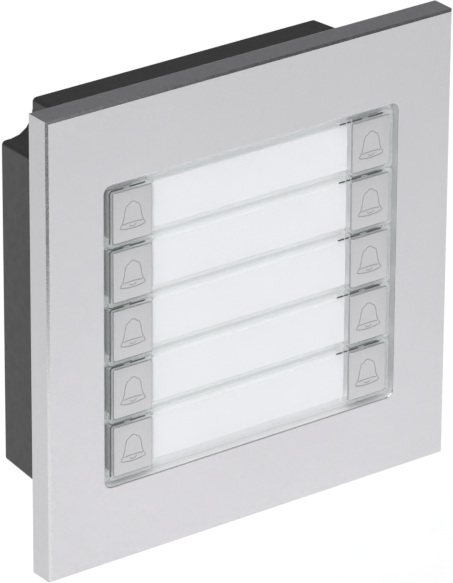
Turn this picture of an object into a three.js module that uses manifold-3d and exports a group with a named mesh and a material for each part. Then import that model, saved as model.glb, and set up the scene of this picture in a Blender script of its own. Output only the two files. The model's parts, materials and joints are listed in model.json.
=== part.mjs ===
// Door call station: an aluminium cover frame, a call module with two columns of bell keys
// beside backlit name strips, and the flush box that is let into the wall.
// Millimetres, +Z up, +X right, the front faces -Y. The origin is the centre of the flush
// box's back face. A "depth" is measured from the cover frame's front face into the wall.
import * as THREE from "three";
import { mergeVertices } from "three/addons/utils/BufferGeometryUtils.js";
import Module from "manifold-3d";

// ---------------------------------------------------------------- driving dimensions
const arcSteps = 2;
const rodSides = 16;

const frameSize = 135;
const frameDepth = 8.8;
const frameSkin = 3.4;
const frameRim = 4;
const frameCornerRadius = 0.05;
const frameChamfer = 0.64;
const frameRearRadius = 1.2;
const windowWidth = 98.5;
const windowHeight = 89;
const windowRadius = 2.4;

const boxDepth = 26.5;
const boxHalf = 57.6;
const boxNotch = 10.05;
const boxNotchRadius = 7;
const boxCornerRadius = 1.2;
const boxDraft = 0.058;
const boxWall = 2;
const bossRadius = 3;
const bossX = 53.8;
const bossZ = 36;
const cableEntryRadius = 10;
const cableEntryZ = 25;
const wallHoleRadius = 2.4;
const wallHoleX = 34;

const rowCount = 5;
const rowPitch = 17.2;
const rowGap = 0.35;
const keyOuterEdge = 47.5;
const keyInnerEdge = 33.45;
const keyFaceX = 39.95;
const keyFaceWidth = 12.56;
const keyFaceHeight = 14.5;
const keyCapFront = 0.15;
const keyCapBack = 3;
const keyCapRadius = 1;
const insertFace = 0.8;
const insertClearance = 0.1;
const coreWidth = 9;
const coreShift = 1.5;
const coreHeight = 10;
const finWidth = 1.2;
const finHeight = 13;
const coreBack = 3.9;
const stemRadius = 2.2;
const stemBack = 6.9;

const viewHalfWidth = 33.1;
const viewFront = 0.15;
const viewBack = 3.8;
const labelFront = 1.35;
const labelThickness = 0.25;
const labelWidth = 65.4;
const labelHeight = 13.3;
const labelLift = 0.3;
const labelPlay = 0.1;
const padWidth = 62.8;
const padHeight = 12.6;
const guideHeight = 82;
const guideFront = 5.8;
const guideBack = 8;

const surroundFront = 4;
const surroundBack = 5.5;
const surroundWidth = 101.5;
const surroundHeight = 92;
const keyApertureWidth = 9.9;
const apertureHeight = 13.8;
const labelApertureWidth = 63.6;

const housingWidth = 96.4;
const housingHeight = 86.9;
const housingFront = 5.8;
const housingBack = 20;
const housingWall = 1.6;
const postRadius = 2.5;
const boardFront = 12.4;
const boardThickness = 1.6;
const boardPlay = 0.4;
const contactGap = 0.05;
const switchSize = 6;
const switchHeight = 3.4;
const plungerRadius = 1.7;
const plungerTop = 7.9;
const lampSize = [3.5, 3];
const lampHeight = 1.2;
const lampX = 20;
const lampZ = 21.5;

const terminalX = -18;
const terminalZ = -24;
const terminalSize = [30, 9];
const terminalBack = 22;
const terminalWays = 6;
const connectorX = 22;
const connectorSize = [15, 7];
const connectorBack = 21;
const cutoutPlay = 1.5;

const carrierFront = 5.6;
const carrierBack = 8.7;
const carrierHalf = 58.6;
const carrierPlay = 0.8;
const screwHeadRadius = 2.7;
const screwHeadHeight = 1.3;
const screwRadius = 1.5;
const screwHoleRadius = 1.85;
const screwBack = 19;
const bossHoleBack = 20;

const gasketWidth = 4.5;
const gasketFront = 5.9;
const gasketPlay = 0.15;

const overallDepth = frameDepth + boxDepth;
const mouthGap = 0.05;
const overshoot = 1;

// ---------------------------------------------------------------- materials
const finish = (color, roughness, metalness = 0) =>
  new THREE.MeshStandardMaterial({ color, roughness, metalness });
const satinAluminium = finish(0xcdcbcf, 0.38, 0.9);
const silverPaint = finish(0xc6c5ca, 0.45, 0.4);
const clearPlastic = finish(0xb4bab6, 0.12);
const whiteFilm = finish(0xe8eaf0, 0.6);
const milkyPlastic = finish(0xeef0f0, 0.5);
const blackPlastic = finish(0x2a2a29, 0.55);
const greyPlastic = finish(0x55585a, 0.6);
const boardGreen = finish(0x1e5b3a, 0.5);
const switchBlack = finish(0x1b1b1c, 0.4);
const terminalGreen = finish(0x3c7a4d, 0.5);
const screwSteel = finish(0xb9bbbd, 0.3, 0.95);
const foamBlack = finish(0x222223, 0.95);
const lampWhite = finish(0xf4f1dc, 0.35);

// ---------------------------------------------------------------- solids
const wasm = await Module();
wasm.setup();

// Turns a closed three.js geometry into a manifold solid.
function solid(geometry) {
  const bare = geometry.clone();
  bare.deleteAttribute("normal");
  bare.deleteAttribute("uv");
  const merged = mergeVertices(bare, 1e-5);
  return new wasm.Manifold(new wasm.Mesh({
    numProp: 3,
    vertProperties: new Float32Array(merged.attributes.position.array),
    triVerts: new Uint32Array(merged.index.array),
  }));
}

// Turns a manifold solid back into a three.js geometry.
function geometryOf(manifold) {
  const mesh = manifold.getMesh();
  const geometry = new THREE.BufferGeometry();
  geometry.setAttribute("position", new THREE.BufferAttribute(mesh.vertProperties, mesh.numProp));
  geometry.setIndex(new THREE.BufferAttribute(mesh.triVerts, 1));
  geometry.computeVertexNormals();
  return geometry;
}

const joined = (first, ...rest) => rest.reduce((sum, piece) => sum.add(piece), first);
const cut = (body, ...tools) => tools.reduce((left, tool) => left.subtract(tool), body);

// A rectangle with round corners, centred on (x, z).
function roundedRect(width, height, radius, x = 0, z = 0) {
  const shape = new THREE.Shape();
  const right = x + width / 2;
  const top = z + height / 2;
  const left = x - width / 2;
  const bottom = z - height / 2;
  shape.moveTo(left + radius, bottom);
  shape.lineTo(right - radius, bottom);
  shape.absarc(right - radius, bottom + radius, radius, -Math.PI / 2, 0);
  shape.lineTo(right, top - radius);
  shape.absarc(right - radius, top - radius, radius, 0, Math.PI / 2);
  shape.lineTo(left + radius, top);
  shape.absarc(left + radius, top - radius, radius, Math.PI / 2, Math.PI);
  shape.lineTo(left, bottom + radius);
  shape.absarc(left + radius, bottom + radius, radius, Math.PI, 1.5 * Math.PI);
  return shape;
}

// A square of half-size `half` with a square step of `notch` cut from each corner: the
// step's inner corner has the radius `inner`, its two outer corners the radius `outer`.
function steppedSquare(half, notch, inner, outer) {
  const shape = new THREE.Shape();
  const step = half - notch;
  for (let quarter = 0; quarter < 4; quarter += 1) {
    const turn = (quarter * Math.PI) / 2;
    const cos = Math.round(Math.cos(turn));
    const sin = Math.round(Math.sin(turn));
    const place = (x, z) => [x * cos - z * sin, x * sin + z * cos];
    const arc = (x, z, radius, from, to, clockwise) => {
      const [cx, cz] = place(x, z);
      shape.absarc(cx, cz, radius, from + turn, to + turn, clockwise);
    };
    arc(half - outer, step - outer, outer, 0, Math.PI / 2, false);
    arc(step + inner, step + inner, inner, 1.5 * Math.PI, Math.PI, true);
    arc(step - outer, half - outer, outer, 0, Math.PI / 2, false);
  }
  return shape;
}

// Extrudes a shape drawn in X and Z between two depths.
function slab(shape, front, back) {
  const geometry = new THREE.ExtrudeGeometry(shape, {
    depth: back - front,
    bevelEnabled: false,
    curveSegments: arcSteps,
  });
  geometry.rotateX(Math.PI / 2);
  geometry.translate(0, back - overallDepth, 0);
  return geometry;
}

const block = (width, height, front, back, x = 0, z = 0) => {
  const geometry = new THREE.BoxGeometry(width, back - front, height);
  geometry.translate(x, (front + back) / 2 - overallDepth, z);
  return solid(geometry);
};

const rod = (radius, front, back, x = 0, z = 0, sides = rodSides) => {
  const geometry = new THREE.CylinderGeometry(radius, radius, back - front, sides);
  geometry.translate(x, (front + back) / 2 - overallDepth, z);
  return solid(geometry);
};

// Widens a stepped slab linearly towards the front, so that its walls have a draft.
function drafted(shape, front, back, slope) {
  const geometry = slab(shape, front, back);
  const position = geometry.attributes.position;
  for (let i = 0; i < position.count; i += 1) {
    const distance = -position.getY(i);
    const growth = 1 + (slope * distance) / boxHalf;
    position.setX(i, position.getX(i) * growth);
    position.setZ(i, position.getZ(i) * growth);
  }
  return solid(geometry);
}

// ---------------------------------------------------------------- assembly
const callStation = new THREE.Group();

function add(name, geometry, material, parent = callStation) {
  const mesh = new THREE.Mesh(geometry, material);
  mesh.name = name;
  parent.add(mesh);
  return mesh;
}

// The height of a row's centre line: row 1 is the top one.
const rowZ = (row) => ((rowCount + 1) / 2 - row) * rowPitch;
const rows = Array.from({ length: rowCount }, (_, index) => index + 1);
const sides = [["left", 0], ["right", Math.PI]];
const corners = [[-1, 1], [1, 1], [1, -1], [-1, -1]];

// ---------------------------------------------------------------- cover frame
// One half of the frame's rim: a square slab whose edge is bevelled or rounded at one end.
function edgedSlab(edge, segments, thickness) {
  const flat = frameSize - 2 * edge;
  return new THREE.ExtrudeGeometry(roundedRect(flat, flat, frameCornerRadius), {
    depth: thickness,
    bevelEnabled: true,
    bevelThickness: edge,
    bevelSize: edge,
    bevelSegments: segments,
    curveSegments: arcSteps,
  });
}

function coverFrame() {
  const middle = frameDepth / 2;
  const margin = frameSize + overshoot;
  const front = edgedSlab(frameChamfer, 1, frameDepth);
  front.rotateX(Math.PI / 2);
  front.translate(0, frameDepth + frameChamfer - overallDepth, 0);
  const rear = edgedSlab(frameRearRadius, 4, frameDepth);
  rear.rotateX(Math.PI / 2);
  rear.translate(0, frameDepth - frameRearRadius - overallDepth, 0);
  const pocketSize = frameSize - 2 * frameRim;
  return cut(
    joined(
      solid(front).subtract(block(margin, margin, middle, 2 * frameDepth)),
      solid(rear).subtract(block(margin, margin, -frameDepth, middle)),
    ),
    solid(slab(roundedRect(windowWidth, windowHeight, windowRadius), -overshoot, frameDepth)),
    solid(slab(roundedRect(pocketSize, pocketSize, 1), frameSkin, frameDepth + overshoot)),
  );
}
add("cover_frame", geometryOf(coverFrame()), satinAluminium);

// The foam seal lies in the frame's pocket and ends level with its rear rim.
function frameGasket() {
  const outer = frameSize - 2 * frameRim - 2 * gasketPlay;
  const inner = outer - 2 * gasketWidth;
  return solid(slab(roundedRect(outer, outer, 1), gasketFront, frameDepth))
    .subtract(block(inner, inner, gasketFront - overshoot, frameDepth + overshoot));
}
add("frame_gasket", geometryOf(frameGasket()), foamBlack);

// ---------------------------------------------------------------- flush box
function flushBox() {
  const mouth = frameDepth + mouthGap;
  const floor = overallDepth - boxWall;
  const outline = steppedSquare(boxHalf, boxNotch, boxNotchRadius, boxCornerRadius);
  const inside = steppedSquare(
    boxHalf - boxWall,
    boxNotch,
    boxNotchRadius + boxWall / 2,
    boxCornerRadius / 2,
  );
  const shell = drafted(outline, mouth, overallDepth, boxDraft)
    .subtract(drafted(inside, mouth - overshoot, floor, boxDraft));
  const bosses = corners.map(([sx, sz]) => {
    const boss = rod(bossRadius, mouth + 0.3, floor + boxWall / 2, sx * bossX, sz * bossZ);
    const rib = block(
      bossRadius,
      2,
      mouth + 0.3,
      floor + boxWall / 2,
      sx * (bossX + bossRadius / 2),
      sz * bossZ,
    );
    return boss.add(rib);
  });
  const bossHoles = corners.map(([sx, sz]) =>
    rod(screwHoleRadius, mouth, bossHoleBack, sx * bossX, sz * bossZ));
  const wallHoles = [-wallHoleX, wallHoleX].map((x) =>
    rod(wallHoleRadius, floor - overshoot, overallDepth + overshoot, x, 0));
  const entry = rod(
    cableEntryRadius,
    floor - overshoot,
    overallDepth + overshoot,
    0,
    cableEntryZ,
    32,
  );
  return cut(joined(shell, ...bosses), ...bossHoles, ...wallHoles, entry);
}
add("flush_box", geometryOf(flushBox()), blackPlastic);

// ---------------------------------------------------------------- mounting frame and screws
function mountingFrame() {
  const outline = steppedSquare(carrierHalf, boxNotch, boxNotchRadius, boxCornerRadius);
  const opening = roundedRect(
    housingWidth + carrierPlay,
    housingHeight + carrierPlay,
    windowRadius,
  );
  const holes = corners.map(([sx, sz]) =>
    rod(screwHoleRadius, carrierFront - overshoot, carrierBack + overshoot, sx * bossX, sz * bossZ));
  return cut(
    solid(slab(outline, carrierFront, carrierBack)),
    solid(slab(opening, carrierFront - overshoot, carrierBack + overshoot)),
    ...holes,
  );
}
add("mounting_frame", geometryOf(mountingFrame()), greyPlastic);

function boxScrew() {
  const headBack = carrierFront - contactGap;
  const head = rod(screwHeadRadius, headBack - screwHeadHeight, headBack);
  const shank = rod(screwRadius, headBack - screwHeadHeight / 2, screwBack, 0, 0, 12);
  const slotFront = headBack - screwHeadHeight;
  const slots = [
    block(0.8, 3.4, slotFront - overshoot, slotFront + 0.7),
    block(3.4, 0.8, slotFront - overshoot, slotFront + 0.7),
  ];
  return cut(joined(head, shank), ...slots);
}
corners.forEach(([sx, sz], index) => {
  const screw = add(`box_screw_${index + 1}`, geometryOf(boxScrew()), screwSteel);
  screw.position.set(sx * bossX, 0, sz * bossZ);
});

// ---------------------------------------------------------------- call module
const callModule = new THREE.Group();
callStation.add(callModule);

// The surround is a ladder: a plate with an aperture behind each key and each name strip.
function moduleSurround() {
  const plate = solid(slab(
    roundedRect(surroundWidth, surroundHeight, windowRadius),
    surroundFront,
    surroundBack,
  ));
  const aperture = (width, x, row) => block(
    width,
    apertureHeight,
    surroundFront - overshoot,
    surroundBack + overshoot,
    x,
    rowZ(row),
  );
  const apertures = rows.flatMap((row) => [
    aperture(labelApertureWidth, 0, row),
    aperture(keyApertureWidth, -keyFaceX - coreShift, row),
    aperture(keyApertureWidth, keyFaceX + coreShift, row),
  ]);
  return cut(plate, ...apertures);
}
add("module_surround", geometryOf(moduleSurround()), clearPlastic, callModule);

// The clear cap is C-shaped: a spine on the key's outer side and an arm above and below.
function keyCap() {
  const capHeight = rowPitch - rowGap;
  const capWidth = keyOuterEdge - keyInnerEdge;
  const capX = -(keyOuterEdge + keyInnerEdge) / 2;
  const body = solid(slab(
    roundedRect(capWidth, capHeight, keyCapRadius * 0.8, capX, 0),
    keyCapFront,
    keyCapBack,
  ));
  const seatWidth = keyFaceWidth + 2 * insertClearance;
  const seat = block(
    seatWidth + overshoot,
    keyFaceHeight + 2 * insertClearance,
    keyCapFront - overshoot,
    keyCapBack + overshoot,
    -keyFaceX + overshoot / 2,
    0,
  );
  return body.subtract(seat);
}

// The opaque insert: a face tile, a core behind its outer part with a tall fin on the key's
// outer side, and a round stem towards the switch.
function keyInsert() {
  const tile = solid(slab(
    roundedRect(keyFaceWidth, keyFaceHeight, keyCapRadius * 0.6, -keyFaceX, 0),
    0,
    insertFace,
  ));
  const coreX = -keyFaceX - coreShift;
  const finX = coreX - (coreWidth - finWidth) / 2;
  const core = block(coreWidth, coreHeight, insertFace / 2, coreBack, coreX, 0);
  const fin = block(finWidth, finHeight, insertFace / 2, coreBack, finX, 0);
  const stem = rod(stemRadius, coreBack - overshoot, stemBack, -keyFaceX, 0, 12);
  return joined(tile, core, fin, stem);
}

function keySwitch() {
  const back = boardFront - contactGap;
  const body = block(switchSize, switchSize, back - switchHeight, back, -keyFaceX, 0);
  const plunger = rod(plungerRadius, plungerTop, back - overshoot, -keyFaceX, 0, 12);
  return body.add(plunger);
}

for (const [side, turn] of sides) {
  const column = new THREE.Group();
  column.rotation.y = turn;
  callModule.add(column);
  for (const row of rows) {
    const z = turn ? -rowZ(row) : rowZ(row);
    const pieces = [
      add(`key_${side}_${row}`, geometryOf(keyCap()), clearPlastic, column),
      add(`key_insert_${side}_${row}`, geometryOf(keyInsert()), silverPaint, column),
      add(`key_switch_${side}_${row}`, geometryOf(keySwitch()), switchBlack, column),
    ];
    pieces.forEach((piece) => piece.position.set(0, 0, z));
  }
}

// The clear cover of a name strip: a tray that opens to the rear.
function labelWindow() {
  const body = solid(slab(
    roundedRect(2 * viewHalfWidth, rowPitch - rowGap, 0.3),
    viewFront,
    viewBack,
  ));
  const pocket = block(
    labelWidth + 2 * labelPlay,
    labelHeight + 2 * labelPlay,
    labelFront - contactGap,
    viewBack + overshoot,
    0,
    labelLift,
  );
  return body.subtract(pocket);
}

for (const row of rows) {
  const pane = add(`label_window_${row}`, geometryOf(labelWindow()), clearPlastic, callModule);
  const strip = block(
    labelWidth,
    labelHeight,
    labelFront,
    labelFront + labelThickness,
    0,
    labelLift,
  );
  const label = add(`name_label_${row}`, geometryOf(strip), whiteFilm, callModule);
  pane.position.z = rowZ(row);
  label.position.z = rowZ(row);
}

function lightGuide() {
  const plate = block(2 * viewHalfWidth, guideHeight, guideFront, guideBack);
  const padFront = labelFront + labelThickness + contactGap;
  const pads = rows.map((row) =>
    block(padWidth, padHeight, padFront, guideFront + 0.5, 0, rowZ(row) + labelLift));
  return joined(plate, ...pads);
}
add("light_guide", geometryOf(lightGuide()), milkyPlastic, callModule);

// ---------------------------------------------------------------- electronics
const boardWidth = housingWidth - 2 * housingWall - 2 * boardPlay;
const boardHeight = housingHeight - 2 * housingWall - 2 * boardPlay;
const boardBack = boardFront + boardThickness;
const board = block(boardWidth, boardHeight, boardFront, boardBack);
add("circuit_board", geometryOf(board), boardGreen, callModule);

corners.forEach(([sx, sz], index) => {
  const back = boardFront - contactGap;
  const chip = block(...lampSize, back - lampHeight, back);
  const lamp = add(`backlight_lamp_${index + 1}`, geometryOf(chip), lampWhite, callModule);
  lamp.position.set(sx * lampX, 0, sz * lampZ);
});

function terminalBlock() {
  const front = boardBack + contactGap;
  const pitch = terminalSize[0] / terminalWays;
  const body = block(...terminalSize, front, terminalBack, terminalX, terminalZ);
  const ways = Array.from({ length: terminalWays }, (_, way) => {
    const x = terminalX + (way - (terminalWays - 1) / 2) * pitch;
    return rod(1.6, terminalBack - 2.5, terminalBack + overshoot, x, terminalZ + 1.2, 12);
  });
  return cut(body, ...ways);
}
add("terminal_block", geometryOf(terminalBlock()), terminalGreen, callModule);

function busConnector() {
  const front = boardBack + contactGap;
  const body = block(...connectorSize, front, connectorBack, connectorX, terminalZ);
  const socket = block(
    connectorSize[0] - 2,
    connectorSize[1] - 2,
    front + 1.5,
    connectorBack + overshoot,
    connectorX,
    terminalZ,
  );
  return body.subtract(socket);
}
add("bus_connector", geometryOf(busConnector()), switchBlack, callModule);

function moduleHousing() {
  const floorFront = housingBack - housingWall;
  const shell = solid(slab(
    roundedRect(housingWidth, housingHeight, 2),
    housingFront,
    housingBack,
  )).subtract(solid(slab(
    roundedRect(housingWidth - 2 * housingWall, housingHeight - 2 * housingWall, 0.5),
    housingFront - overshoot,
    floorFront,
  )));
  const posts = corners.map(([sx, sz]) => rod(
    postRadius,
    boardBack + contactGap,
    housingBack - housingWall / 2,
    sx * (boardWidth / 2 - 4),
    sz * (boardHeight / 2 - 4),
    12,
  ));
  const terminalCut = block(
    terminalSize[0] + 2 * cutoutPlay,
    terminalSize[1] + 2 * cutoutPlay,
    floorFront - overshoot,
    housingBack + overshoot,
    terminalX,
    terminalZ,
  );
  const connectorCut = block(
    connectorSize[0] + 2 * cutoutPlay,
    connectorSize[1] + 2 * cutoutPlay,
    floorFront - overshoot,
    housingBack + overshoot,
    connectorX,
    terminalZ,
  );
  return cut(joined(shell, ...posts), terminalCut, connectorCut);
}
add("module_housing", geometryOf(moduleHousing()), greyPlastic, callModule);

export default callStation;
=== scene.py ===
import json
import math

import bmesh
import bpy
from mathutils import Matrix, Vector


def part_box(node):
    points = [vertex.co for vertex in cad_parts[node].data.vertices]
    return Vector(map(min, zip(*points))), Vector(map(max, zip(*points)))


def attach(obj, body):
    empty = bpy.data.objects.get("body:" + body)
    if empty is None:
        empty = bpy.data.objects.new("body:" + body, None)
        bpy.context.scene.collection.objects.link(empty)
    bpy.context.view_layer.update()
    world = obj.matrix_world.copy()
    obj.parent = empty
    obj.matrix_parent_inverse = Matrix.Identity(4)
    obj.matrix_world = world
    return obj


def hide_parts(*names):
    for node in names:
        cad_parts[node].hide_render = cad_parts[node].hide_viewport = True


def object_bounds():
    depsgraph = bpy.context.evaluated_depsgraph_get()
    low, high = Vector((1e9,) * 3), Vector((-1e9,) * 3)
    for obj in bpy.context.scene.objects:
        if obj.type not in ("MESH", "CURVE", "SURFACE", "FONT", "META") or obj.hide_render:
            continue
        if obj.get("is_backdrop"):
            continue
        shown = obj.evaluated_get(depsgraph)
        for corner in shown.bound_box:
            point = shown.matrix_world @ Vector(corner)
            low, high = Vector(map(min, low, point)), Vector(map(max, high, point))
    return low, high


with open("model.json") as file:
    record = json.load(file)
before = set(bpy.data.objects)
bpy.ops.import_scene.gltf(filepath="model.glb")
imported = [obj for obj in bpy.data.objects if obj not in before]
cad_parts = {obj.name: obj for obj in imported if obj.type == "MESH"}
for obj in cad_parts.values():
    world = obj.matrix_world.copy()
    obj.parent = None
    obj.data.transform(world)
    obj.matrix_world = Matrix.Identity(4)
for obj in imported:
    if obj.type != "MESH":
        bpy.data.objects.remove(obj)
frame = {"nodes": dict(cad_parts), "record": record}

# The door call station's looks. Lengths are millimetres times MM, because Blender works in
# metres. The front faces -Y, so a depth behind the cover frame's front face is added to FRONT.
MM = 0.001
NODES = frame["nodes"]
CAD_LOW, CAD_HIGH = (Vector(corner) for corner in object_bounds())
FRONT = CAD_LOW.y
ROWS = range(1, 6)
SIDES = ("left", "right")

scene = bpy.context.scene
scene.view_settings.view_transform = "Standard"

# ------------------------------------------------------------------ materials
# A noise value below the first limit or above the second no longer changes the surface.
NOISE_LIMITS = (0.3, 0.7)


class Finish:
    """A Principled material whose colour, roughness and relief vary over the surface."""

    def __init__(self, name, color, roughness, metallic=0.0):
        self.material = bpy.data.materials.new(name)
        self.material.use_nodes = True
        self.tree = self.material.node_tree
        self.shader = self.tree.nodes["Principled BSDF"]
        self.shader.inputs["Base Color"].default_value = (*color, 1)
        self.shader.inputs["Roughness"].default_value = roughness
        self.shader.inputs["Metallic"].default_value = metallic
        self.coordinates = self.tree.nodes.new("ShaderNodeTexCoord")

    def set(self, **values):
        """Sets shader inputs by name, with an underscore for each space."""
        for key, value in values.items():
            self.shader.inputs[key.replace("_", " ")].default_value = value
        return self

    def noise(self, scale, detail=3.0):
        """A noise texture in object space: scale is in features per metre."""
        texture = self.tree.nodes.new("ShaderNodeTexNoise")
        texture.inputs["Scale"].default_value = scale
        texture.inputs["Detail"].default_value = detail
        self.tree.links.new(self.coordinates.outputs["Object"], texture.inputs["Vector"])
        return texture.outputs["Fac"]

    def vary_color(self, source, first, second):
        ramp = self.tree.nodes.new("ShaderNodeValToRGB")
        for element, limit, color in zip(ramp.color_ramp.elements, NOISE_LIMITS, (first, second)):
            element.position = limit
            element.color = (*color, 1)
        self.tree.links.new(source, ramp.inputs["Fac"])
        self.tree.links.new(ramp.outputs["Color"], self.shader.inputs["Base Color"])

    def vary_roughness(self, source, low, high):
        node = self.tree.nodes.new("ShaderNodeMapRange")
        node.inputs["From Min"].default_value, node.inputs["From Max"].default_value = NOISE_LIMITS
        node.inputs["To Min"].default_value = low
        node.inputs["To Max"].default_value = high
        self.tree.links.new(source, node.inputs["Value"])
        self.tree.links.new(node.outputs["Result"], self.shader.inputs["Roughness"])

    def relief(self, source, height, strength):
        """Bumps of a height in metres."""
        bump = self.tree.nodes.new("ShaderNodeBump")
        bump.inputs["Distance"].default_value = height
        bump.inputs["Strength"].default_value = strength
        self.tree.links.new(source, bump.inputs["Height"])
        self.tree.links.new(bump.outputs["Normal"], self.shader.inputs["Normal"])


def plain_plastic(name, color, roughness, grain=2500, height=0.00002, lift=1.25):
    """Moulded plastic: a faint mottle up to lift times as light, a fine grain and uneven gloss."""
    finish = Finish(name, color, roughness)
    lighter = tuple(min(1, channel * lift) for channel in color)
    finish.vary_color(finish.noise(60), color, lighter)
    finish.vary_roughness(finish.noise(400), roughness - 0.05, roughness + 0.07)
    finish.relief(finish.noise(grain, 2.0), height, 0.5)
    return finish


def clear_plastic(name, tint, alpha, roughness=0.06):
    """Polished clear plastic: mostly see-through, with a faint tint."""
    finish = Finish(name, tint, roughness)
    finish.set(Alpha=alpha, IOR=1.58)
    finish.vary_roughness(finish.noise(150), roughness * 0.6, roughness * 1.6)
    finish.relief(finish.noise(300, 1.0), 0.00001, 0.15)
    return finish


def satin_metal(name, color, roughness, height=0.000004):
    """Blasted or painted metal: a faint mottle, uneven gloss and a grain of 0.14 mm."""
    finish = Finish(name, color, roughness, 1.0)
    darker = tuple(channel * 0.975 for channel in color)
    finish.vary_color(finish.noise(45, 4.0), darker, color)
    finish.vary_roughness(finish.noise(900, 4.0), roughness - 0.03, roughness + 0.03)
    finish.relief(finish.noise(7000, 2.0), height, 0.35)
    return finish


# The colour of the painted glow that the name strips, light guide and clear surround give off.
PAINTED_GLOW = (0.93, 0.95, 1, 1)
MATERIALS = {
    "satin_aluminium": satin_metal("satin_aluminium", (0.578, 0.568, 0.588), 0.42),
    "sawn_side": satin_metal("sawn_side", (0.575, 0.567, 0.58), 0.42),
    "polished_edge": satin_metal("polished_edge", (0.6, 0.6, 0.61), 0.27, 0.0000004),
    # Painted light: a lighter, half-metallic copy of the aluminium makes the opening's walls look lit.
    "painted_light_wall": satin_metal("painted_light_wall", (0.74, 0.74, 0.745), 0.4).set(Metallic=0.5),
    "silver_paint": satin_metal("silver_paint", (0.56, 0.555, 0.57), 0.5).set(Metallic=0.8),
    "insert_core": plain_plastic("insert_core", (0.03, 0.03, 0.03), 0.5),
    "bell_line": satin_metal("bell_line", (0.40, 0.40, 0.41), 0.6).set(Metallic=0.6),
    # Painted shade: dark strips along the key and window edges stand in for the shade in the gaps
    # there.
    "dark_strip": plain_plastic("dark_strip", (0.03, 0.035, 0.035), 0.5),
    "clear_key": clear_plastic("clear_key", (0.64, 0.675, 0.66), 0.36),
    "clear_window": clear_plastic("clear_window", (0.85, 0.87, 0.86), 0.09),
    "clear_surround": plain_plastic("clear_surround", (0.74, 0.75, 0.745), 0.3, 900, 0.00001, 1.03),
    "label_film": plain_plastic("label_film", (0.738, 0.735, 0.768), 0.6, 1500, 0.000001, 1.02),
    "milky_guide": plain_plastic("milky_guide", (0.82, 0.83, 0.83), 0.5, 900, 0.00001, 1.02),
    "black_box_plastic": plain_plastic(
        "black_box_plastic", (0.021, 0.0206, 0.02), 0.34, 2500, 0.00001, 1.06).set(IOR=1.37),
    "grey_plastic": plain_plastic("grey_plastic", (0.09, 0.095, 0.1), 0.5),
    "board_green": plain_plastic("board_green", (0.02, 0.11, 0.05), 0.4),
    "switch_black": plain_plastic("switch_black", (0.01, 0.01, 0.011), 0.35),
    "terminal_green": plain_plastic("terminal_green", (0.04, 0.2, 0.08), 0.45),
    "screw_steel": satin_metal("screw_steel", (0.55, 0.56, 0.58), 0.3),
    "gasket_foam": plain_plastic("gasket_foam", (0.012, 0.012, 0.012), 0.9, 1200, 0.0001),
    "lamp_white": plain_plastic("lamp_white", (0.85, 0.83, 0.7), 0.35),
}
# Painted glow: these three give off light of their own. It stands in for the lamps behind the name
# strips and lifts their shaded parts.
MATERIALS["label_film"].set(Emission_Color=PAINTED_GLOW, Emission_Strength=0.03)
MATERIALS["milky_guide"].set(Emission_Color=PAINTED_GLOW, Emission_Strength=0.1)
MATERIALS["clear_surround"].set(Emission_Color=PAINTED_GLOW, Emission_Strength=0.3)
SLOT_OF_NODE = {part["node"]: part["material_slot"] for part in frame["record"]["subparts"]}


def paint(obj, name):
    obj.data.materials.clear()
    obj.data.materials.append(MATERIALS[name].material)


# ------------------------------------------------------------------ mesh helpers
CORNER_STEPS = 6
WELD_DISTANCE = 1e-7
SHARP_ANGLE = 30  # an edge that turns by more degrees than this stays sharp
FLAT_SHARP_ANGLE = 20  # the same for the frame and the inserts, with their big flats


def solid_from(name, points, faces, material, sharp=SHARP_ANGLE):
    """A smooth-shaded object from points in millimetres, with edges over sharp degrees kept."""
    mesh = bpy.data.meshes.new(name)
    mesh.from_pydata([Vector(point) * MM for point in points], [], faces)
    work = bmesh.new()
    work.from_mesh(mesh)
    bmesh.ops.remove_doubles(work, verts=work.verts, dist=WELD_DISTANCE)
    bmesh.ops.recalc_face_normals(work, faces=work.faces)
    work.to_mesh(mesh)
    work.free()
    for polygon in mesh.polygons:
        polygon.use_smooth = True
    mesh.set_sharp_from_angle(angle=math.radians(sharp))
    obj = bpy.data.objects.new(name, mesh)
    scene.collection.objects.link(obj)
    paint(obj, material)
    return obj


def rounded_loop(half_x, half_z, radius, depth, center=(0, 0)):
    """The points of a rectangle with round corners at one depth behind the front face."""
    points = []
    for quarter, (sx, sz) in enumerate(((1, 1), (-1, 1), (-1, -1), (1, -1))):
        for step in range(CORNER_STEPS + 1):
            angle = (quarter + step / CORNER_STEPS) * math.pi / 2
            points.append((
                center[0] + sx * (half_x - radius) + radius * math.cos(angle),
                FRONT / MM + depth,
                center[1] + sz * (half_z - radius) + radius * math.sin(angle),
            ))
    return points


def lofted(name, loops, material, ends="ring", sharp=SHARP_ANGLE):
    """Joins loops of equal length: "ring" closes the last on the first, "caps" fills both ends."""
    count = len(loops[0])
    points = [point for loop in loops for point in loop]
    spans = len(loops) if ends == "ring" else len(loops) - 1
    faces = []
    for span in range(spans):
        here = span * count
        there = (span + 1) % len(loops) * count
        for i in range(count):
            j = (i + 1) % count
            faces.append((here + i, here + j, there + j, there + i))
    if ends == "caps":
        faces.append(tuple(range(count)))
        faces.append(tuple(range((len(loops) - 1) * count, len(loops) * count)))
    return solid_from(name, points, faces, material, sharp)


def smooth_path(points, closed, steps=6):
    """A Catmull-Rom curve through flat points."""
    count = len(points)
    path = []
    for i in range(count if closed else count - 1):
        if closed:
            around = [points[(i + shift) % count] for shift in (-1, 0, 1, 2)]
        else:
            around = [points[min(max(i + shift, 0), count - 1)] for shift in (-1, 0, 1, 2)]
        for step in range(steps):
            t = step / steps
            weights = (
                -0.5 * t + t * t - 0.5 * t ** 3,
                1 - 2.5 * t * t + 1.5 * t ** 3,
                0.5 * t + 2 * t * t - 1.5 * t ** 3,
                -0.5 * t * t + 0.5 * t ** 3,
            )
            path.append(tuple(
                sum(weight * point[axis] for weight, point in zip(weights, around))
                for axis in (0, 1)
            ))
    if not closed:
        path.append(points[-1])
    return path


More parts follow.
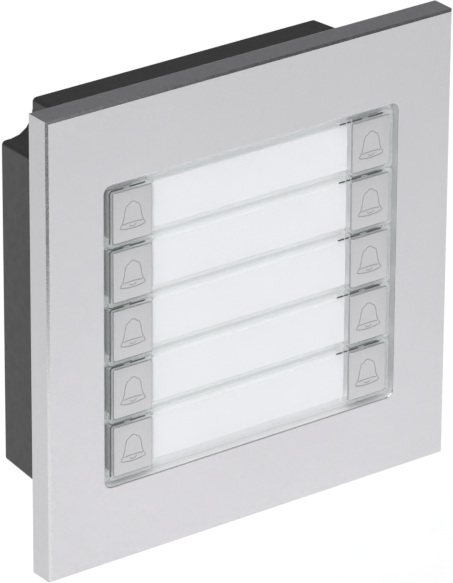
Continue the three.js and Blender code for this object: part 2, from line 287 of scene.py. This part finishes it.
def ribbon(name, path, width, front, back, material, closed=False):
    """A strip of one width that follows a path in X and Z, solid between two depths."""
    count = len(path)
    offsets = []
    for i in range(count):
        before = path[(i - 1) % count] if closed else path[max(i - 1, 0)]
        after = path[(i + 1) % count] if closed else path[min(i + 1, count - 1)]
        along = Vector((after[0] - before[0], after[1] - before[1])).normalized()
        offsets.append((-along.y * width / 2, along.x * width / 2))
    points = []
    for depth in (front, back):
        for sign in (1, -1):
            for (x, z), (dx, dz) in zip(path, offsets):
                points.append((x + sign * dx, FRONT / MM + depth, z + sign * dz))
    rails = [0, count, 3 * count, 2 * count]
    faces = []
    for i in range(count if closed else count - 1):
        j = (i + 1) % count
        for here, there in zip(rails, rails[1:] + rails[:1]):
            faces.append((here + i, here + j, there + j, there + i))
    if not closed:
        faces.append(tuple(rails))
        faces.append(tuple(rail + count - 1 for rail in rails))
    return solid_from(name, points, faces, material)


def quarter_arc(radius, steps):
    """(inset, drop) pairs along a rounded edge, from the flat face to the side wall."""
    turns = [step / steps * math.pi / 2 for step in range(steps + 1)]
    return [(radius * (1 - math.sin(turn)), radius * (1 - math.cos(turn))) for turn in turns]


# ------------------------------------------------------------------ cover frame
OPENING = (49.25, 44.5)  # half the opening's width and height
OPENING_RADIUS = 2.4
OPENING_DEPTH = 3.4
OPENING_LIP = 0.3  # radius of the soft edge around the opening
FRAME_RIM = 4.0  # thickness of the frame's side walls, round its open back
FRAME_CHAMFER = 0.64
FRAME_REAR_RADIUS = 1.2
FRAME_CORNER = 0.05
POCKET_CORNER = 1.0
FRAME_ARC_STEPS = 6
SUPPORT = 0.03  # a narrow band beside each rounded edge, which keeps the big flats flat
TOLERANCE = 0.01
FRONT_SKIN = 0.001  # a polygon whose middle is nearer to the front than this is on the front face
POLISHED, LIT_WALL, SAWN = 1, 2, 3  # material slots of the frame, after satin aluminium in slot 0


def cover_frame():
    """The frame as one closed ring of loops, from its open back round the outside to its pocket."""
    low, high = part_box("cover_frame")
    half = high.x / MM
    depth = (high.y - low.y) / MM

    def square(inset, at_depth):
        return rounded_loop(half - inset, half - inset, FRAME_CORNER, at_depth)

    def opening(outset, at_depth):
        return rounded_loop(
            OPENING[0] + outset, OPENING[1] + outset, OPENING_RADIUS + outset, at_depth)

    pocket = (half - FRAME_RIM, half - FRAME_RIM, POCKET_CORNER)
    loops = [rounded_loop(*pocket, depth), square(FRAME_REAR_RADIUS + SUPPORT, depth)]
    for inset, drop in quarter_arc(FRAME_REAR_RADIUS, FRAME_ARC_STEPS):
        loops.append(square(inset, depth - drop))
    loops.append(square(0, depth - FRAME_REAR_RADIUS - SUPPORT))
    loops.append(square(0, FRAME_CHAMFER))
    loops.append(square(FRAME_CHAMFER, 0))
    loops.append(opening(OPENING_LIP + SUPPORT, 0))
    for outset, drop in quarter_arc(OPENING_LIP, FRAME_ARC_STEPS):
        loops.append(opening(outset, drop))
    loops.append(opening(0, OPENING_LIP + SUPPORT))
    loops.append(opening(0, OPENING_DEPTH))
    loops.append(rounded_loop(*pocket, OPENING_DEPTH))
    shell = lofted("cover_frame_shell", loops, "satin_aluminium", sharp=FLAT_SHARP_ANGLE)
    for name in ("polished_edge", "painted_light_wall", "sawn_side"):
        shell.data.materials.append(MATERIALS[name].material)
    for polygon in shell.data.polygons:
        x, z = polygon.center.x / MM, polygon.center.z / MM
        into = (polygon.center.y - FRONT) / MM
        outward = max(abs(x), abs(z))
        if outward < OPENING[0] + OPENING_LIP and FRONT_SKIN < into < OPENING_DEPTH - TOLERANCE:
            in_lower_right_corner = min(x - OPENING[0], -z - OPENING[1]) > -OPENING_RADIUS
            if into > OPENING_LIP:
                # The opening's walls below the lip get the painted light of the lighter wall copy.
                polygon.material_index = LIT_WALL
            elif in_lower_right_corner or z > OPENING[1]:
                polygon.material_index = POLISHED
        elif outward > half - FRAME_CHAMFER and into < FRAME_CHAMFER - TOLERANCE:
            polygon.material_index = POLISHED
        elif outward > half - FRAME_REAR_RADIUS and into > FRAME_CHAMFER:
            polygon.material_index = SAWN
    return shell


frame_shell = cover_frame()
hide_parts("cover_frame")
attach(frame_shell, "station")

# ------------------------------------------------------------------ carried-over CAD nodes
EDGE_WIDTH = 0.15
WIDE_EDGES = {"flush_box": 1.5, "module_housing": 0.3}
NODE_WELD_DISTANCE = 1e-6
COPLANAR_ANGLE = 0.5
EDGE_ANGLE = 35


def soften(obj, width):
    """Rounds the hard edges of a CAD node without touching its own mesh."""
    weld = obj.modifiers.new("weld", "WELD")
    weld.merge_threshold = NODE_WELD_DISTANCE
    flat = obj.modifiers.new("flat", "DECIMATE")
    flat.decimate_type = "DISSOLVE"
    flat.angle_limit = math.radians(COPLANAR_ANGLE)
    bevel = obj.modifiers.new("bevel", "BEVEL")
    bevel.width = width * MM
    bevel.segments = 3
    bevel.limit_method = "ANGLE"
    bevel.angle_limit = math.radians(EDGE_ANGLE)
    weighted = obj.modifiers.new("weighted", "WEIGHTED_NORMAL")
    weighted.weight = 100
    for polygon in obj.data.polygons:
        polygon.use_smooth = True


for node_name, node in NODES.items():
    if node_name == "cover_frame" or node_name.startswith("key_insert"):
        continue
    paint(node, SLOT_OF_NODE[node_name])
    soften(node, WIDE_EDGES.get(node_name, EDGE_WIDTH))

# ------------------------------------------------------------------ key inserts with their bells
LINE_WIDTH = 0.27
GROOVE_DEPTH = 0.09
CUTTER_FRONT = -0.2
BELL_REACH = 4.6  # the bell's lines all lie within this distance of the tile's middle
# The right-hand half of the bell, from its crown down to its foot.
BELL_SIDE = [
    (0.75, 3.6), (1.15, 3.15), (1.8, 2.85), (2.3, 2.25), (2.62, 1.0), (2.85, -0.4), (3.2, -1.7),
    (3.6, -2.4), (4.05, -3.15), (3.85, -3.45), (3.0, -3.65), (1.6, -3.85),
]
bell_outline = smooth_path(
    [(0, 3.8)] + BELL_SIDE + [(0, -3.95)] + [(-x, z) for x, z in reversed(BELL_SIDE)], True, 3)
bell_mouth = smooth_path([(-3.15, -2.35), (-1.6, -2.2), (0, -2.15), (1.6, -2.2), (3.15, -2.35)], False)
bell_clapper = smooth_path(
    [(-1.1, -2.75), (-0.7, -3.2), (0, -3.35), (0.7, -3.2), (1.1, -2.75)], False, 3)
TILE_DEPTH = 0.8
TILE_EDGE = 0.14
TILE_CORNER = 0.6
# The dark core behind the tile: its outer and inner side, half its height, and its back.
CORE_OUTER, CORE_INNER, CORE_HALF_HEIGHT, CORE_BACK = -6.0, 3.0, 5.0, 3.9
CORE_CORNER = 0.3
STEM_RADIUS = 2.2
FIN_WIDTH, FIN_HALF_HEIGHT, FIN_CORNER = 1.2, 6.5, 0.1


def key_insert_mesh(side):
    """The insert around the origin of X and Z: a face tile, its core, its fin and its stem."""
    low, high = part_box(f"key_insert_{side}_1")
    half_x = (high.x - low.x) / 2 / MM
    half_z = (high.z - low.z) / 2 / MM
    reach = (high.y - low.y) / MM
    core_x = (CORE_OUTER + CORE_INNER) / 2 * (1 if side == "left" else -1)
    core = ((CORE_INNER - CORE_OUTER) / 2, CORE_HALF_HEIGHT, CORE_CORNER)
    stem = (STEM_RADIUS, STEM_RADIUS, STEM_RADIUS)
    loops = []
    for inset, drop in quarter_arc(TILE_EDGE, 3):
        loops.append(rounded_loop(half_x - inset, half_z - inset, TILE_CORNER - inset, drop))
    loops.append(rounded_loop(half_x, half_z, TILE_CORNER, TILE_DEPTH))
    loops.append(rounded_loop(*core, TILE_DEPTH, (core_x, 0)))
    loops.append(rounded_loop(*core, CORE_BACK, (core_x, 0)))
    loops.append(rounded_loop(*stem, CORE_BACK))
    loops.append(rounded_loop(*stem, reach))
    body = lofted("insert_pattern", loops, "silver_paint", ends="caps")
    fin_x = math.copysign(-CORE_OUTER - FIN_WIDTH / 2, core_x)
    fin_loops = [
        rounded_loop(FIN_WIDTH / 2, FIN_HALF_HEIGHT, FIN_CORNER, depth, (fin_x, 0))
        for depth in (TILE_DEPTH / 2, CORE_BACK)
    ]
    fin = lofted("insert_fin", fin_loops, "silver_paint", ends="caps")
    cut = (LINE_WIDTH, CUTTER_FRONT, GROOVE_DEPTH, "bell_line")
    cutters = [
        ribbon("bell_cut_1", bell_outline, *cut, closed=True),
        ribbon("bell_cut_2", bell_mouth, *cut),
        ribbon("bell_cut_3", bell_clapper, *cut),
    ]
    for operand in [fin, *cutters]:
        step = body.modifiers.new("groove", "BOOLEAN")
        step.operation = "UNION" if operand is fin else "DIFFERENCE"
        step.solver = "EXACT"
        step.object = operand
    bpy.context.view_layer.update()
    evaluated = body.evaluated_get(bpy.context.evaluated_depsgraph_get())
    mesh = bpy.data.meshes.new_from_object(evaluated)
    for helper in [body, fin, *cutters]:
        bpy.data.objects.remove(helper)
    mesh.materials.clear()
    painted, engraved, moulded = range(3)
    for name in ("silver_paint", "bell_line", "insert_core"):
        mesh.materials.append(MATERIALS[name].material)
    for polygon in mesh.polygons:
        into = (polygon.center.y - FRONT) / MM
        near = max(abs(polygon.center.x), abs(polygon.center.z)) / MM < BELL_REACH
        if into > TILE_DEPTH - TOLERANCE:
            polygon.material_index = moulded
        elif near and into > TOLERANCE / 2:
            polygon.material_index = engraved
        else:
            polygon.material_index = painted
    mesh.set_sharp_from_angle(angle=math.radians(FLAT_SHARP_ANGLE))
    return mesh


for side in SIDES:
    insert_mesh = key_insert_mesh(side)
    for row in ROWS:
        node_name = f"key_insert_{side}_{row}"
        low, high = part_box(node_name)
        insert = bpy.data.objects.new(f"{node_name}_shell", insert_mesh)
        insert.location = ((low.x + high.x) / 2, 0, (low.z + high.z) / 2)
        scene.collection.objects.link(insert)
        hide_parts(node_name)
        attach(insert, f"key_{side}_{row}")

# ------------------------------------------------------------------ painted shade strips in the key edges
STRIP_WIDTH = 0.38
STRIP_PROUD = 0.01
STRIP_THICKNESS = 0.15
STRIP_INSET = 0.2  # from the outline of a clear cap to the middle of its strip
SIDE_STRIP_WIDTH = 0.26
SIDE_STRIP_DEPTHS = (0.12, 0.5)
SIDE_STRIP_LENGTH = 15.2
STRIP_BEND = 0.75
STRIP_BEND_STEPS = 6
BENT_STRIP_END = -42.8
# The straight strips of each row: the piece that holds them, and where they start and end in X.
STRAIGHT_STRIPS = (
    ("left", -40.8, -35.8),
    ("right", 33.4, 36.7),
    ("right", 38.8, 44.0),
    ("window", 29.1, 31.2),
    ("window", 31.6, 32.95),
)


def add_painted_shade_strips():
    """Dark strips of painted shade along the outer and top edges of the clear caps and windows."""
    for row in ROWS:
        cap_low, cap_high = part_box(f"key_left_{row}")
        top = cap_high.z / MM - STRIP_INSET
        outer = cap_low.x / MM + STRIP_INSET
        side_top = (outer, top - STRIP_BEND)
        bent = [side_top]
        for step in range(1, STRIP_BEND_STEPS + 1):
            turn = math.pi / 2 * step / STRIP_BEND_STEPS
            bent.append((
                outer + STRIP_BEND - STRIP_BEND * math.cos(turn),
                top - STRIP_BEND + STRIP_BEND * math.sin(turn),
            ))
        runs = [
            ("left", [(outer, top - SIDE_STRIP_LENGTH), side_top]),
            ("left", bent + [(BENT_STRIP_END, top)]),
        ]
        for place, start, end in STRAIGHT_STRIPS:
            runs.append((place, [(start, top), (end, top)]))
        for index, (place, path) in enumerate(runs, 1):
            width, depths = SIDE_STRIP_WIDTH, SIDE_STRIP_DEPTHS
            holder = f"label_window_{row}" if place == "window" else f"key_{place}_{row}"
            if index > 1:
                front = (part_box(holder)[0].y - FRONT) / MM - STRIP_PROUD
                width, depths = STRIP_WIDTH, (front, front + STRIP_THICKNESS)
            strip = ribbon(
                f"edge_strip_{place}_{row}_{index}", path, width, *depths, "dark_strip")
            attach(strip, "station" if place == "window" else holder)


add_painted_shade_strips()


# ------------------------------------------------------------------ camera
def look_from(azimuth, elevation, roll, distance, aim, focal):
    """A camera on the compass: azimuth 0 looks along +Y, and grows towards +X."""
    turn, rise = math.radians(azimuth), math.radians(elevation)
    view = Vector((
        math.sin(turn) * math.cos(rise),
        math.cos(turn) * math.cos(rise),
        -math.sin(rise),
    ))
    data = bpy.data.cameras.new("camera")
    data.lens = focal
    data.sensor_width = 36
    data.clip_start = 0.05
    data.clip_end = 60
    camera = bpy.data.objects.new("camera", data)
    camera.location = Vector(aim) - view * distance
    camera.rotation_euler = view.to_track_quat("-Z", "Y").to_euler()
    camera.rotation_euler.rotate_axis("Z", math.radians(roll))
    scene.collection.objects.link(camera)
    scene.camera = camera


look_from(
    azimuth=36.64, elevation=24.97, roll=0.35, distance=1.4928, aim=(-0.0089, FRONT, 0.0034),
    focal=341.6)


# ------------------------------------------------------------------ light and floor
def softbox(name, location, size, power, aim=(0, 0, 0)):
    data = bpy.data.lights.new(name, "AREA")
    data.shape = "RECTANGLE"
    data.size, data.size_y = size
    data.energy = power
    light = bpy.data.objects.new(name, data)
    light.location = location
    direction = Vector(aim) - Vector(location)
    light.rotation_euler = direction.to_track_quat("-Z", "Y").to_euler()
    scene.collection.objects.link(light)


world = bpy.data.worlds.new("studio")
scene.world = world
world.use_nodes = True
world.node_tree.nodes["Background"].inputs["Color"].default_value = (0.96, 0.98, 1, 1)
world.node_tree.nodes["Background"].inputs["Strength"].default_value = 0.165

sky = bpy.data.lights.new("overhead", "SUN")
sky.energy = 2.9
sky.angle = math.radians(50)
overhead = bpy.data.objects.new("overhead", sky)
overhead.rotation_euler = (math.radians(18), math.radians(-14), 0)
scene.collection.objects.link(overhead)
softbox("front_left", (-1.3, -1.2, 1.4), (0.7, 0.9), 18)
softbox("low_front", (0.2, -0.33, -0.27), (0.2, 0.2), 0.06, (0, FRONT, -0.07))


def rectangle(name, half_x, half_y, height=0):
    """A flat mesh of one face, square to Z."""
    mesh = bpy.data.meshes.new(name)
    corners = ((-1, -1), (1, -1), (1, 1), (-1, 1))
    mesh.from_pydata([(x * half_x, y * half_y, height) for x, y in corners], [], [(0, 1, 2, 3)])
    return bpy.data.objects.new(name, mesh)


def dark_card(name, start, direction, distance, size, material):
    """A card that only mirror-like faces see, centred on a ray that leaves the point start."""
    toward = Vector(direction).normalized()
    card = rectangle(name, size[0] / 2, size[1] / 2)
    card.location = Vector(start) + toward * distance
    card.rotation_euler = toward.to_track_quat("Z", "Y").to_euler()
    card.visible_camera = False
    card.visible_diffuse = False
    card.visible_shadow = False
    scene.collection.objects.link(card)
    paint(card, material)
    card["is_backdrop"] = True


# Each card lies where one bevel of the cover frame mirrors the camera.
MATERIALS["card"] = plain_plastic("card", (0.15, 0.155, 0.16), 0.9, 30, 0.0001)
dark_card("card_left", (-0.0675, FRONT, 0.0925), (-0.726, -0.540, -0.422), 0.3, (0.12, 0.13), "card")
dark_card(
    "card_top", (0.045, FRONT, 0.0675), (0.541, -0.421, 0.726), 0.4, (0.2, 0.07), "gasket_foam")

FLOOR_HALF_SIZE = 12
FLOOR_HEIGHT = -0.32
floor = rectangle("floor", FLOOR_HALF_SIZE, FLOOR_HALF_SIZE, FLOOR_HEIGHT)
scene.collection.objects.link(floor)
MATERIALS["floor"] = plain_plastic("floor", (0.93, 0.93, 0.93), 0.8, 30, 0.0001, 1.02)
paint(floor, "floor")
floor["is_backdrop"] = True
